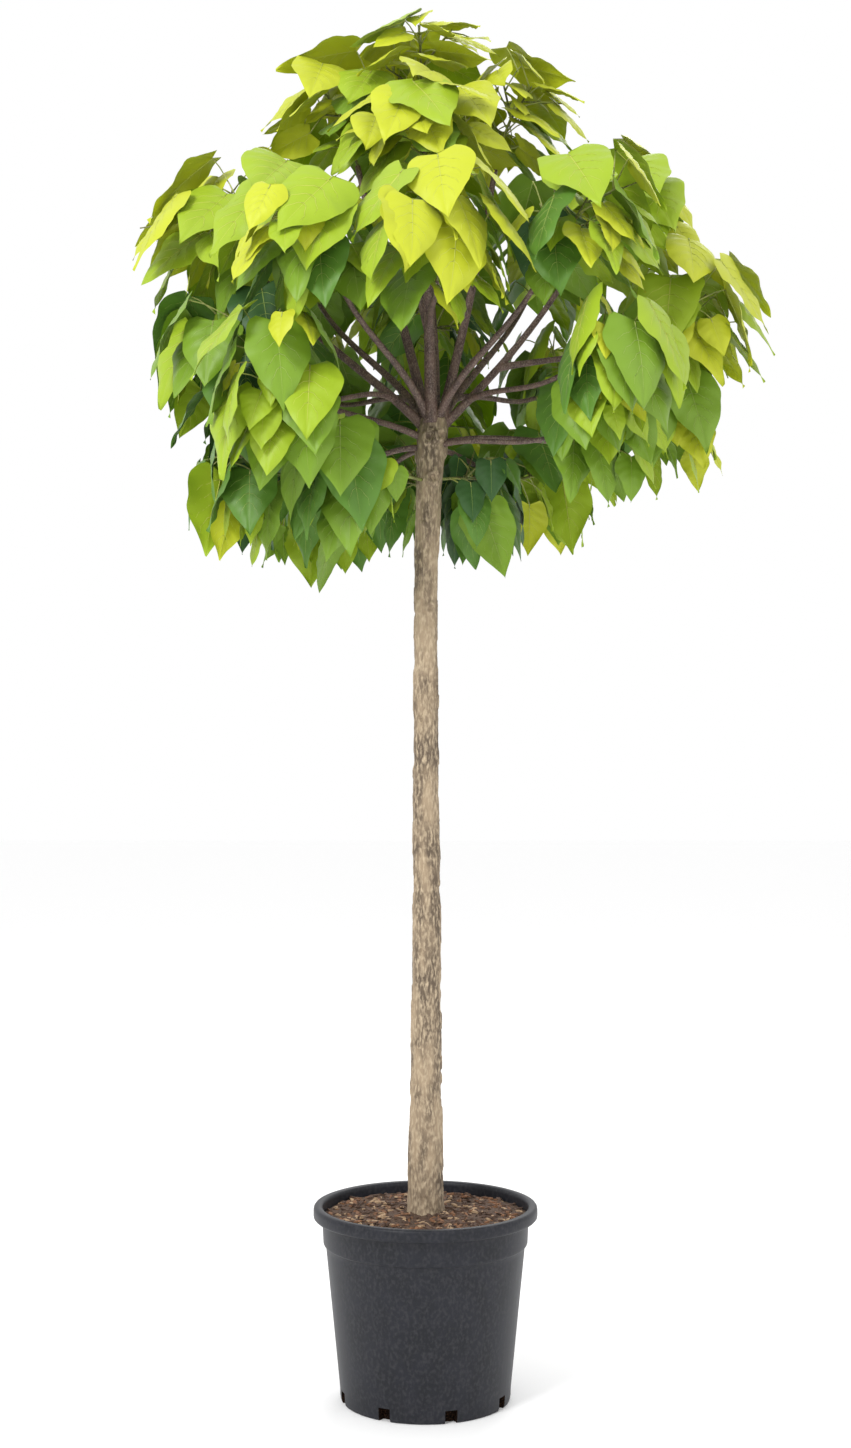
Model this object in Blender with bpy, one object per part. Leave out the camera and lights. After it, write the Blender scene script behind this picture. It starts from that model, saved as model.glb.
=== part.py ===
"""Golden catalpa grown as a standard: a clear stem with a round head of boughs, in a plastic nursery pot.

The pot, the soil in it, the trunk, each bough and each mass of leaves is one closed solid.
Metres, +Z up, the pot's flat underside on Z = 0 and the trunk's axis close to X = Y = 0. -Y is the front.
"""

import math
import random

import bmesh
import bpy
from mathutils import Matrix, Vector
from mathutils.bvhtree import BVHTree

# Every piece keeps this far from the piece that it stands on or grows from.
GAP = 0.0003

# The pot is a 45 litre nursery container. Its rim gives the scale of everything else.
RIM_RADIUS = 0.2248
POT_HEIGHT = 0.388
BASE_RADIUS = 0.170
BODY_TOP_RADIUS = 0.2000
COLLAR_FOOT = 0.313
COLLAR_RADIUS = 0.2045
COLLAR_TOP_RADIUS = 0.2077
LIP_HEIGHT = 0.025
LIP_INNER_RADIUS = 0.2100
LIP_ROUND = 0.004
WALL = 0.003
FLOOR = 0.004
POT_SIDES = 32
DRAIN_COUNT = 8
DRAIN_WIDTH = 0.024
DRAIN_HEIGHT = 0.026
DRAIN_DEPTH = 0.016
DRAIN_TURN = math.radians(17)

SOIL_EDGE = 0.366
SOIL_TOP = 0.373
SOIL_FLAT_RADIUS = 0.060

# Height, radius and sideways lean of the stem, from the flat cut at the soil to the swollen head.
TRUNK_FORM = (
    (SOIL_TOP + GAP, 0.0390, 0.000),
    (0.395, 0.0368, 0.000),
    (0.450, 0.0345, 0.000),
    (0.600, 0.0312, 0.001),
    (0.800, 0.0290, 0.002),
    (1.050, 0.0268, 0.002),
    (1.300, 0.0248, 0.001),
    (1.550, 0.0234, 0.001),
    (1.720, 0.0234, 0.003),
    (1.810, 0.0246, 0.006),
    (1.870, 0.0264, 0.010),
    (1.915, 0.0300, 0.013),
    (1.945, 0.0310, 0.015),
    (1.965, 0.0270, 0.016),
    (1.976, 0.0160, 0.016),
)
TRUNK_SIDES = 12
HEAD = Vector((0.014, 0.0, 1.940))

# A bough's foot starts this far inside what carries it, and is cut back to its surface.
BOUGH_SIDES = 6
BOUGH_STEPS = 5
FOOT_DEPTH = 0.012
STEEP = 70
STEEP_FOOT_DEPTH = 0.0165
TIP_SHARE = 0.50
TIP_TAPER = 0.5
TIP_LIFT = 0.25
SLIMMEST_TIP = 0.0046
BEND = 0.36

# The plan of the crown, one row for each bough with the mass of leaves at its end:
# name, carrier, place of the foot on it, azimuth and rise of the foot, foot radius,
# centre of the mass (X, Y, Z), its half width and half height, and its number of leaves.
# The place is a height under or over the head's middle, or the share of a carrying bough's length.
# Azimuth 0 points to +X, the right, and 270 to the front.
CROWN = (
    ("top-left", "head", 0.016, 150, 80, 0.0110, (-0.16, 0.01, 2.565), 0.185, 0.180, 15),
    ("top-right", "head", 0.014, 350, 76, 0.0105, (0.16, 0.01, 2.560), 0.190, 0.180, 15),
    ("top-front", "head", 0.016, 262, 80, 0.0130, (0.00, -0.18, 2.470), 0.200, 0.180, 15),
    ("top-back", "head", 0.014, 78, 76, 0.0105, (0.00, 0.19, 2.490), 0.200, 0.180, 14),
    ("crest", "top-front", 0.50, 150, 70, 0.0075, (-0.01, -0.01, 2.645), 0.205, 0.120, 13),
    ("upper-left", "head", 0.000, 181, 46, 0.0100, (-0.40, 0.00, 2.315), 0.225, 0.205, 18),
    ("upper-left-front", "head", 0.006, 232, 62, 0.0085, (-0.21, -0.30, 2.250), 0.210, 0.200, 16),
    ("upper-front", "top-front", 0.34, 272, 45, 0.0070, (0.03, -0.38, 2.210), 0.200, 0.200, 14),
    ("upper-right-front", "head", 0.006, 305, 58, 0.0085, (0.27, -0.28, 2.270), 0.210, 0.200, 15),
    ("upper-right", "head", -0.002, 357, 44, 0.0090, (0.37, 0.00, 2.360), 0.210, 0.200, 16),
    ("upper-right-back", "head", 0.004, 38, 56, 0.0090, (0.26, 0.29, 2.320), 0.210, 0.200, 14),
    ("upper-back", "top-back", 0.34, 92, 46, 0.0070, (-0.01, 0.40, 2.270), 0.210, 0.200, 14),
    ("upper-left-back", "head", 0.004, 132, 54, 0.0090, (-0.28, 0.28, 2.310), 0.210, 0.200, 14),
    ("middle-left", "head", -0.020, 200, 26, 0.0065, (-0.38, -0.03, 2.060), 0.215, 0.200, 17),
    ("middle-left-front", "upper-left", 0.26, 232, 14, 0.0055, (-0.29, -0.27, 1.970), 0.190, 0.200, 14),
    ("middle-right-front", "upper-right", 0.22, 310, 12, 0.0060, (0.33, -0.27, 2.030), 0.200, 0.195, 14),
    ("middle-right", "upper-right", 0.50, 352, 10, 0.0065, (0.51, 0.00, 2.145), 0.215, 0.200, 16),
    ("middle-right-back", "upper-right-back", 0.26, 30, 14, 0.0060, (0.30, 0.28, 2.050), 0.200, 0.200, 14),
    ("middle-back", "head", -0.018, 88, 28, 0.0065, (0.02, 0.40, 2.000), 0.210, 0.205, 14),
    ("middle-left-back", "upper-left-back", 0.26, 142, 14, 0.0060, (-0.27, 0.29, 2.040), 0.210, 0.205, 14),
    ("inner-back", "middle-back", 0.34, 100, 62, 0.0055, (0.00, 0.19, 2.200), 0.200, 0.170, 12),
    ("low-right", "head", -0.026, 352, 14, 0.0055, (0.48, 0.02, 1.940), 0.160, 0.150, 9),
    ("skirt-left", "head", -0.034, 186, 4, 0.0055, (-0.33, -0.02, 1.830), 0.185, 0.190, 13),
    ("skirt-left-front", "trunk", -0.100, 232, 20, 0.0, (-0.17, -0.16, 1.810), 0.140, 0.160, 8),
    ("skirt-right-front", "head", -0.030, 330, 12, 0.0055, (0.33, -0.13, 1.920), 0.170, 0.160, 11),
    ("skirt-right", "trunk", -0.095, 15, 15, 0.0, (0.11, 0.09, 1.800), 0.140, 0.170, 8),
    ("skirt-right-back", "head", -0.036, 52, 4, 0.0050, (0.24, 0.28, 1.860), 0.180, 0.180, 11),
    ("skirt-back", "trunk", -0.105, 100, 15, 0.0, (-0.04, 0.20, 1.840), 0.160, 0.160, 9),
    ("skirt-left-back", "head", -0.036, 140, 4, 0.0050, (-0.22, 0.25, 1.800), 0.180, 0.180, 11),
)

# A mass's stem runs on from its bough's tip to a point outside and over the mass's middle.
STEM_RADIUS = 0.0056
STEM_FOOT = 0.004
STEM_STEPS = 4
STEM_OUT = 0.25
STEM_UP = 0.35
STEM_LIFT = 1.2
# Where a limb is in its way, the stem's end is moved by up to this share of the mass's half width.
STEM_TRIES = 20
STEM_ASIDE = 0.35

# Side twigs leave the stem at this angle. Their length is a share of the mass's half width.
TWIG_RADIUS = 0.0040
TWIG_FOOT_RADIUS = 0.0011
TWIG_FOOT = 0.011
TWIG_COUNT = 5
TWIG_TAPER = 0.45
TWIG_ANGLE = math.radians(56)
TWIG_LENGTHS = (0.40, 0.62)
NODE_SPACING = 0.036
LEAF_ANGLE = math.radians(58)
GOLDEN_TURN = math.radians(137.5)

# A blade is a heart drawn out to a point, on a stalk as long as two thirds of it.
LEAF_LENGTH = 0.178
LEAF_WIDTH = 0.80
PETIOLE_LENGTH = 0.105
BLADE_OUTLINE = (
    # Across, as a share of the half width, then along and up as shares of the length.
    (-0.60, -0.11, -0.02),
    (-1.0, 0.31, -0.05),
    (0.0, 1.0, -0.10),
    (1.0, 0.31, -0.05),
    (0.60, -0.11, -0.02),
)
ROOT_RADIUS = 0.0008
ROOT_DEPTH = 0.008
JOINT_RADIUS = 0.0021
# How far a leaf may be turned from its place: round its twig, about Z, about its own length, and in its hang.
WHORL_TURN = 0.9
SWING = math.radians(35)
ROLL = math.radians(40)
HANG_SPREAD = 14
LENGTHS = (0.92, 1.0)
STALK_LENGTHS = (0.6, 1.1)
OUTWARD = 0.5
LEAF_SEEDS = 1000
# Two leaves whose joints are further apart than this can't touch.
REACH = 0.38
# Each place is tried with a large leaf first, then with smaller ones.
LEAF_SIZES = (1.0, 1.0, 0.92, 0.92, 0.84, 0.84, 0.76, 0.76, 0.68, 0.60)
# Low leaves hang steeply and the top ones lie flatter: height in the crown, then angle below level.
HANG = ((1.70, 74), (2.00, 62), (2.30, 48), (2.60, 26), (2.80, 12))
# A leaf may pass the half-way plane between two masses by this much where nothing is in its way.
OVERRUN = 0.045


def finish(name, colour, roughness):
    """A plain Principled material."""
    material = bpy.data.materials.new(name)
    material.use_nodes = True
    shader = material.node_tree.nodes["Principled BSDF"]
    shader.inputs["Base Color"].default_value = (*colour, 1.0)
    shader.inputs["Roughness"].default_value = roughness
    shader.inputs["Metallic"].default_value = 0.0
    return material


def between(rows, at, column):
    """The value of a column at a height, in straight lines between the rows."""
    if at <= rows[0][0]:
        return rows[0][column]
    for low, high in zip(rows, rows[1:]):
        if at <= high[0]:
            share = (at - low[0]) / (high[0] - low[0])
            return low[column] + share * (high[column] - low[column])
    return rows[-1][column]


def put(name, bm, smooth_under=None):
    """Puts a bmesh into the scene as an object of this name, facing out."""
    bmesh.ops.recalc_face_normals(bm, faces=bm.faces)
    mesh = bpy.data.meshes.new(name)
    bm.to_mesh(mesh)
    bm.free()
    obj = bpy.data.objects.new(name, mesh)
    bpy.context.scene.collection.objects.link(obj)
    if smooth_under:
        mesh.shade_smooth()
        mesh.set_sharp_from_angle(angle=math.radians(smooth_under))
    return obj


def apply_modifiers(obj):
    """Makes the evaluated mesh the object's own."""
    evaluated = obj.evaluated_get(bpy.context.evaluated_depsgraph_get())
    mesh = bpy.data.meshes.new_from_object(evaluated)
    obj.modifiers.clear()
    obj.data = mesh


def turned(profile, sides):
    """A closed body turned from (radius, height) points, the first and last of them on the axis."""
    bm = bmesh.new()
    points = [bm.verts.new((radius, 0.0, height)) for radius, height in profile]
    lines = [bm.edges.new(pair) for pair in zip(points, points[1:])]
    bmesh.ops.spin(
        bm,
        geom=points + lines,
        cent=(0, 0, 0),
        axis=(0, 0, 1),
        angle=math.tau,
        steps=sides,
        use_merge=True,
        use_duplicate=False,
    )
    bmesh.ops.remove_doubles(bm, verts=bm.verts, dist=1e-6)
    return bm


def frames_along(points):
    """Directions along a path, with side directions carried along it without twist."""
    directions = []
    for i in range(len(points)):
        ahead = points[min(i + 1, len(points) - 1)] - points[max(i - 1, 0)]
        directions.append(ahead.normalized())
    side = directions[0].orthogonal().normalized()
    frames = []
    for direction in directions:
        side = (side - direction * side.dot(direction)).normalized()
        frames.append((direction, side, direction.cross(side)))
    return frames


def add_tube(bm, points, radii, sides):
    """Adds a closed tapering tube along a path."""
    rings = []
    for point, radius, (_, side, other) in zip(points, radii, frames_along(points)):
        ring = []
        for k in range(sides):
            angle = math.tau * k / sides
            around = side * math.cos(angle) + other * math.sin(angle)
            ring.append(bm.verts.new(point + around * radius))
        rings.append(ring)
    for low, high in zip(rings, rings[1:]):
        for k in range(sides):
            bm.faces.new((low[k], low[(k + 1) % sides], high[(k + 1) % sides], high[k]))
    bm.faces.new(rings[0][::-1])
    bm.faces.new(rings[-1])


def curve(start, leaving, end, arriving, steps):
    """Points on a smooth curve that leaves and arrives in the given directions."""
    reach = (end - start).length * BEND
    a, b, c, d = start, start + leaving * reach, end - arriving * reach, end
    points = []
    for i in range(steps + 1):
        t = i / steps
        s = 1 - t
        points.append(a * s**3 + b * 3 * s * s * t + c * 3 * s * t * t + d * t**3)
    return points


def heading(azimuth, rise):
    """The direction at an azimuth and a rise in degrees."""
    level = math.cos(math.radians(rise))
    turn = math.radians(azimuth)
    return Vector((level * math.cos(turn), level * math.sin(turn), math.sin(math.radians(rise))))


def make_pot():
    """The turned pot with its stepped collar and rolled lip, and notches round its foot."""
    lip_foot = POT_HEIGHT - LIP_HEIGHT
    profile = [
        (0.0, 0.0),
        (BASE_RADIUS, 0.0),
        (BODY_TOP_RADIUS, COLLAR_FOOT - LIP_ROUND),
        (COLLAR_RADIUS, COLLAR_FOOT),
        (COLLAR_TOP_RADIUS, lip_foot),
        (RIM_RADIUS - LIP_ROUND / 2, lip_foot),
        (RIM_RADIUS, lip_foot + LIP_ROUND),
        (RIM_RADIUS, POT_HEIGHT - 2 * LIP_ROUND),
        (RIM_RADIUS - LIP_ROUND, POT_HEIGHT - LIP_ROUND / 4),
        (RIM_RADIUS - 2 * LIP_ROUND, POT_HEIGHT),
        (LIP_INNER_RADIUS, POT_HEIGHT),
        (LIP_INNER_RADIUS - LIP_ROUND, POT_HEIGHT - LIP_ROUND),
        (COLLAR_TOP_RADIUS - WALL, lip_foot),
        (COLLAR_RADIUS - WALL, COLLAR_FOOT),
        (BODY_TOP_RADIUS - WALL, COLLAR_FOOT - LIP_ROUND),
        (BASE_RADIUS - WALL, FLOOR),
        (0.0, FLOOR),
    ]
    pot = put("pot", turned(profile, POT_SIDES), 30)
    cutters = bmesh.new()
    for k in range(DRAIN_COUNT):
        # The first notch is turned from the front towards +X.
        turn = Matrix.Rotation(DRAIN_TURN - math.pi / 2 + math.tau * k / DRAIN_COUNT, 4, "Z")
        place = Matrix.Translation((BASE_RADIUS, 0, 0))
        size = Matrix.Diagonal((2 * DRAIN_DEPTH, DRAIN_WIDTH, 2 * DRAIN_HEIGHT, 1))
        bmesh.ops.create_cube(cutters, size=1.0, matrix=turn @ place @ size)
    cutter = put("drain-cutter", cutters)
    cut = pot.modifiers.new("drains", "BOOLEAN")
    cut.operation = "DIFFERENCE"
    cut.object = cutter
    apply_modifiers(pot)
    bpy.data.objects.remove(cutter)
    pot.data.materials.clear()
    pot.data.materials.append(finish("pot plastic", (0.030, 0.032, 0.037), 0.55))


def make_soil():
    """Potting soil that fills the pot to just under its rim, heaped a little at the trunk."""
    profile = [
        (0.0, FLOOR + GAP),
        (BASE_RADIUS - WALL - 2 * GAP, FLOOR + GAP),
        (BODY_TOP_RADIUS - WALL - GAP, COLLAR_FOOT - LIP_ROUND),
        (COLLAR_RADIUS - WALL - GAP, COLLAR_FOOT),
        (COLLAR_TOP_RADIUS - WALL - GAP, SOIL_EDGE),
        (SOIL_FLAT_RADIUS, SOIL_TOP),
        (0.0, SOIL_TOP),
    ]
    soil = put("soil", turned(profile, POT_SIDES), 30)
    soil.data.materials.append(finish("potting soil", (0.110, 0.060, 0.035), 0.95))


def trunk_path():
    """Points and radii of the stem."""
    points = [Vector((lean, 0.0, height)) for height, _, lean in TRUNK_FORM]
    return points, [radius for _, radius, _ in TRUNK_FORM]


def make_trunk():
    bm = bmesh.new()
    points, radii = trunk_path()
    add_tube(bm, points, radii, TRUNK_SIDES)
    # The foot is cut level, whatever the lean of the first stretch.
    for vert in bm.verts:
        if vert.co.z < TRUNK_FORM[0][0] + LIP_ROUND:
            vert.co.z = TRUNK_FORM[0][0]
    trunk = put("trunk", bm, 50)
    trunk.data.materials.append(finish("trunk bark", (0.420, 0.330, 0.230), 0.85))
    return trunk


def in_cell(point, name):
    """Whether a point is in a mass's rounded space, and nearer to its middle than to any other's."""
    reach = {row[0]: (Vector(row[6]), row[7], row[8]) for row in CROWN}
    centre, wide, high = reach[name]
    away = point - centre
    if (away.x / wide) ** 2 + (away.y / wide) ** 2 + (away.z / high) ** 2 > 1:
        return False
    own = away.length
    for other, (middle, _, _) in reach.items():
        if other != name:
            # The border lies half way between two middles.
            across = (middle - centre).length
            lead = ((point - middle).length_squared - own * own) / (2 * across)
            if lead < -OVERRUN:
                return False
    return True


def bough_path(row, carriers):
    """The bough's points from inside its carrier to the edge of its mass, and its radii."""
    _, carrier, place, azimuth, rise, foot_radius, middle = row[:7]
    leaving = heading(azimuth, rise)
    if carrier == "head":
        outward = Vector((leaving.x, leaving.y, 0))
        start = HEAD + outward * FOOT_DEPTH + Vector((0, 0, place))
        if rise > STEEP:
            start = HEAD + outward.normalized() * STEEP_FOOT_DEPTH + Vector((0, 0, place))
    else:
        points = carriers[carrier][0]
        start = points[round(place * (len(points) - 1))].copy()
    middle = Vector(middle)
    toward = (middle - start).normalized()
    end = middle - toward * row[7] * TIP_SHARE
    arriving = (toward + Vector((0, 0, TIP_LIFT))).normalized()
    points = curve(start, leaving, end, arriving, BOUGH_STEPS)
    tip_radius = max(SLIMMEST_TIP, foot_radius * TIP_TAPER)
    radii = [
        foot_radius + (tip_radius - foot_radius) * i / BOUGH_STEPS for i in range(BOUGH_STEPS + 1)
    ]
    return points, radii


def cut_clear(bough, points, radii, sides):
    """Cuts a bough back to the surface of another limb, with the gap left, where the two meet."""
    around = bmesh.new()
    add_tube(around, points, [radius + GAP for radius in radii], sides)
    own = bmesh.new()
    own.from_mesh(bough.data)
    meets = BVHTree.FromBMesh(around).overlap(BVHTree.FromBMesh(own))
    own.free()
    if not meets:
        around.free()
        return
    cutter = put("clearance", around)
    cut = bough.modifiers.new("foot", "BOOLEAN")
    cut.operation = "DIFFERENCE"
    cut.object = cutter
    apply_modifiers(bough)
    bpy.data.objects.remove(cutter)
    rest = bmesh.new()
    rest.from_mesh(bough.data)
    keep_largest(rest)
    rest.to_mesh(bough.data)
    rest.free()


def make_bough(row, carriers):
    """One tapering limb, its foot cut back to the trunk and to the boughs that it crowds against."""
    points, radii = bough_path(row, carriers)
    bm = bmesh.new()
    add_tube(bm, points, radii, BOUGH_SIDES)
    bough = put("bough-" + row[0], bm, 50)
    cut_clear(bough, *trunk_path(), TRUNK_SIDES)
    for other_points, other_radii in carriers.values():
        cut_clear(bough, other_points, other_radii, BOUGH_SIDES)
    carriers[row[0]] = (points, radii)
    bough.data.materials.clear()
    bough.data.materials.append(finish("bark of bough-" + row[0], (0.150, 0.095, 0.080), 0.75))
    return bough


def leaf_frame(heading_to, hang, roll):
    """The directions across, along and up from a blade that hangs below level."""
    level = Vector((heading_to.x, heading_to.y, 0)).normalized()
    along = level * math.cos(hang) + Vector((0, 0, -math.sin(hang)))
    across = along.cross(Vector((0, 0, 1))).normalized()
    across = Matrix.Rotation(roll, 3, along) @ across
    return across, along, across.cross(along)


def triangle_ring(centre, across, up, radius):
    """Three corners round a point, the first of them on top."""
    return [
        centre + (across * math.sin(turn) + up * math.cos(turn)) * radius
        for turn in (0.0, -math.tau / 3, math.tau / 3)
    ]


def leaf_points(node, base, frame, length):
    """A three-sided stalk from its twig to the blade, and the blade's lobes, widest points and tip."""
    across, along, up = frame
    bend = ((base - node).normalized() + along).normalized()
    level = (across - bend * across.dot(bend)).normalized()
    # Both ends of the stalk lie in one plane's direction, so that its sides are flat.
    points = triangle_ring(node, level, level.cross(bend), ROOT_RADIUS)
    points += triangle_ring(base, level, level.cross(bend), JOINT_RADIUS)
    wide = LEAF_WIDTH * length / 2
    return points + [
        base + across * x * wide + along * y * length + up * z * length for x, y, z in BLADE_OUTLINE
    ]


# Corners 0 to 2 are the stalk's root, 3 to 5 its end, and 6 to 10 the blade's outline from the left lobe.
STALK_FACES = [(0, 1, 2), (0, 1, 4, 3), (1, 2, 5, 4), (2, 0, 3, 5)]
BLADE_FACES = [(3, 6, 7), (3, 7, 8), (3, 8, 9), (3, 9, 10), (3, 4, 6), (3, 10, 5)]
BLADE_FACES += [(4, 7, 6), (4, 8, 7), (4, 5, 8), (5, 9, 8), (5, 10, 9)]


def stem_of(row, carriers, aside):
    """The stem of a mass, from its bough's tip or the trunk's side to a point near the mass's middle."""
    middle, wide, high = Vector(row[6]), row[7], row[8]
    if row[1] == "trunk":
        first, leaving = heading(row[3], 0), heading(row[3], row[4])
        height = HEAD.z + row[2]
        start = first * (between(TRUNK_FORM, height, 1) + GAP)
        start += Vector((between(TRUNK_FORM, height, 2), 0, height))
    else:
        points, _ = carriers[row[0]]
        first = leaving = (points[-1] - points[-2]).normalized()
        start = points[-1] + first * GAP
    away = Vector((middle.x, middle.y, 0))
    away = away.normalized() if away.length > 0.1 else Vector((0, 0, 1))
    top = middle + away * wide * STEM_OUT + Vector((0, 0, high * STEM_UP)) + aside
    # The first short stretch is square to what the stem grows from.
    foot = start + first * STEM_FOOT
    arriving = (away + Vector((0, 0, STEM_LIFT))).normalized()
    return [start] + curve(foot, leaving, top, arriving, STEM_STEPS)


def side_twigs(row, stem, rng):
    """Straight twigs that leave the stem turned by the golden angle, their feet tapering within it."""
    turn = rng.uniform(0, math.tau)
    twigs = []
    for k in range(TWIG_COUNT):
        low, high = stem[2 + k % 3], stem[3 + k % 3]
        joint = (low + high) / 2
        axis = (high - low).normalized()
        side = Matrix.Rotation(turn + k * GOLDEN_TURN, 3, axis) @ axis.orthogonal().normalized()
        out = axis * math.cos(TWIG_ANGLE) + side * math.sin(TWIG_ANGLE)
        end = joint + out * row[7] * rng.uniform(*TWIG_LENGTHS)
        twigs.append([joint, joint + out * TWIG_FOOT, end])
    return twigs


def nodes_along(points):
    """Points one node spacing apart on the outer part of a twig, with the direction there."""
    nodes = []
    for low, high in zip(points[1:], points[2:]):
        stretch = high - low
        count = max(1, round(stretch.length / NODE_SPACING))
        for i in range(count):
            nodes.append((low + stretch * ((i + 0.5) / count), stretch.normalized()))
    nodes.append((points[-1] - (points[-1] - points[-2]) * 0.1, (points[-1] - points[-2]).normalized()))
    return nodes


def tube_tree(points, radii):
    """A three-sided twig's faces, to test what would touch it."""
    bm = bmesh.new()
    add_tube(bm, points, radii, 3)
    tree = BVHTree.FromBMesh(bm)
    bm.free()
    return tree


def grow_twigs(row, carriers, limbs, rng):
    """The mass's stem and its side twigs with their radii: those that keep to its space and touch no limb."""
    aside = Vector((0, 0, 0))
    for _ in range(STEM_TRIES):
        stem = stem_of(row, carriers, aside)
        radii = [STEM_RADIUS * (1 - TWIG_TAPER * i / (len(stem) - 1)) for i in range(len(stem))]
        tree = tube_tree(stem, radii)
        if not any(limb.overlap(tree) for limb in limbs):
            break
        aside = Vector([rng.uniform(-STEM_ASIDE, STEM_ASIDE) * row[7] for _ in range(3)])
    twigs = [(stem, radii, tree)]
    for points in side_twigs(row, stem, rng):
        radii = (TWIG_FOOT_RADIUS, TWIG_RADIUS, TWIG_RADIUS * (1 - TWIG_TAPER))
        tree = tube_tree(points, radii)
        inside = all(in_cell(point, row[0]) for point in points[1:])
        if inside and not any(limb.overlap(tree) for limb in limbs):
            twigs.append((points, radii, tree))
    return twigs


def is_free(tree, at, others, taken):
    """Whether nothing crosses a leaf, of the limbs and twigs and of the leaves near it."""
    if any(other.overlap(tree) for other in others):
        return False
    near = [leaf for joint, leaf in taken if (joint - at).length_squared < REACH * REACH]
    return not any(leaf.overlap(tree) for leaf in near)


def grow_leaves(row, twigs, limbs, taken, rng):
    """The mass's leaves, in whorls of three: those that keep to its space and touch nothing."""
    name, middle, wide, count = row[0], Vector(row[6]), row[7], row[9]
    places = []
    for points, _, _ in twigs:
        for node, axis in nodes_along(points):
            places += [(node, axis, whorl * math.tau / 3) for whorl in range(3)]
    rng.shuffle(places)
    leaves = []
    for size in LEAF_SIZES:
        for node, axis, turn in places:
            if len(leaves) == count:
                return leaves
            around = turn + rng.uniform(-WHORL_TURN, WHORL_TURN)
            side = Matrix.Rotation(around, 3, axis) @ axis.orthogonal().normalized()
            going = axis * math.cos(LEAF_ANGLE) + side * math.sin(LEAF_ANGLE)
            length = LEAF_LENGTH * size * rng.uniform(*LENGTHS)
            base = node + going * PETIOLE_LENGTH * size * rng.uniform(*STALK_LENGTHS)
            level = Vector((base.x, base.y, 0)).normalized()
            outward = (base - middle) / wide + level * OUTWARD + going
            outward = Matrix.Rotation(rng.uniform(-SWING, SWING), 3, "Z") @ outward
            spread = rng.uniform(-HANG_SPREAD, HANG_SPREAD)
            hang = math.radians(between(HANG, base.z, 1) + spread)
            frame = leaf_frame(outward, hang, rng.uniform(-ROLL, ROLL))
            leaf = leaf_points(node, base, frame, length)
            # Outside its twig the stalk may touch nothing either.
            clear = leaf_points(node + going * ROOT_DEPTH, base, frame, length)
            if not all(in_cell(point, name) for point in leaf[3:]):
                continue
            tree = BVHTree.FromPolygons(clear, STALK_FACES + BLADE_FACES)
            if is_free(tree, base, limbs, taken):
                taken.append((base, tree))
                leaves.append(leaf)
    return leaves


def joined(pieces, name):
    """One closed body: the pieces' union, with sealed hollows filled and loose scraps dropped."""
    group = bpy.data.collections.new(name + "-pieces")
    bpy.context.scene.collection.children.link(group)
    for piece in pieces[1:]:
        bpy.context.scene.collection.objects.unlink(piece)
        group.objects.link(piece)
    body = pieces[0]
    body.name = body.data.name = name
    union = body.modifiers.new("union", "BOOLEAN")
    union.operation = "UNION"
    union.solver = "MANIFOLD"
    union.operand_type = "COLLECTION"
    union.collection = group
    apply_modifiers(body)
    for piece in pieces[1:]:
        bpy.data.objects.remove(piece)
    bpy.data.collections.remove(group)
    bm = bmesh.new()
    bm.from_mesh(body.data)
    keep_largest(bm)
    bm.to_mesh(body.data)
    bm.free()
    return body


def keep_largest(bm):
    """Leaves only the largest connected shell."""
    unseen = set(bm.faces)
    shells = []
    while unseen:
        shell = {unseen.pop()}
        edge_of = list(shell)
        while edge_of:
            face = edge_of.pop()
            for edge in face.edges:
                for near in edge.link_faces:
                    if near in unseen:
                        unseen.remove(near)
                        shell.add(near)
                        edge_of.append(near)
        shells.append(shell)
    largest = max(shells, key=len)
    extra = [face for shell in shells if shell is not largest for face in shell]
    bmesh.ops.delete(bm, geom=extra, context="FACES")


def make_mass(name, twigs, leaves):
    """One mass of foliage, as a single solid."""
    pieces = []
    for points, radii, _ in twigs:
        bm = bmesh.new()
        add_tube(bm, points, radii, 3)
        pieces.append(put("twig", bm))
    for leaf in leaves:
        bm = bmesh.new()
        verts = [bm.verts.new(point) for point in leaf]
        for corners in STALK_FACES + BLADE_FACES:
            bm.faces.new([verts[i] for i in corners])
        pieces.append(put("leaf", bm))
    mass = joined(pieces, "leaves-" + name)
    mass.data.materials.clear()
    mass.data.materials.append(finish("foliage of " + name, (0.300, 0.480, 0.040), 0.50))


def make_tree():
    for old in list(bpy.data.objects):
        bpy.data.objects.remove(old)
    make_pot()
    make_soil()
    trunk = make_trunk()
    carriers = {}
    solids = [trunk] + [make_bough(row, carriers) for row in CROWN if row[1] != "trunk"]
    limbs = []
    for solid in solids:
        bm = bmesh.new()
        bm.from_mesh(solid.data)
        limbs.append(BVHTree.FromBMesh(bm))
        bm.free()
    # All twigs come first, so that no leaf lies across another mass's twig. A row's place is its seed.
    twigs_by_mass = {}
    for seed, row in enumerate(CROWN):
        twigs_by_mass[row[0]] = grow_twigs(row, carriers, limbs, random.Random(seed))
        limbs += [tree for _, _, tree in twigs_by_mass[row[0]]]
    taken = []
    for seed, row in enumerate(CROWN):
        twigs = twigs_by_mass[row[0]]
        leaves = grow_leaves(row, twigs, limbs, taken, random.Random(LEAF_SEEDS + seed))
        make_mass(row[0], twigs, leaves)


make_tree()
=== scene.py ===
"""Golden catalpa grown as a standard, in a charcoal nursery pot filled with mulch."""

import math
import random
from collections import namedtuple

import bmesh
import bpy
import numpy as np
from mathutils import Matrix, Vector
from mathutils.bvhtree import BVHTree


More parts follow.
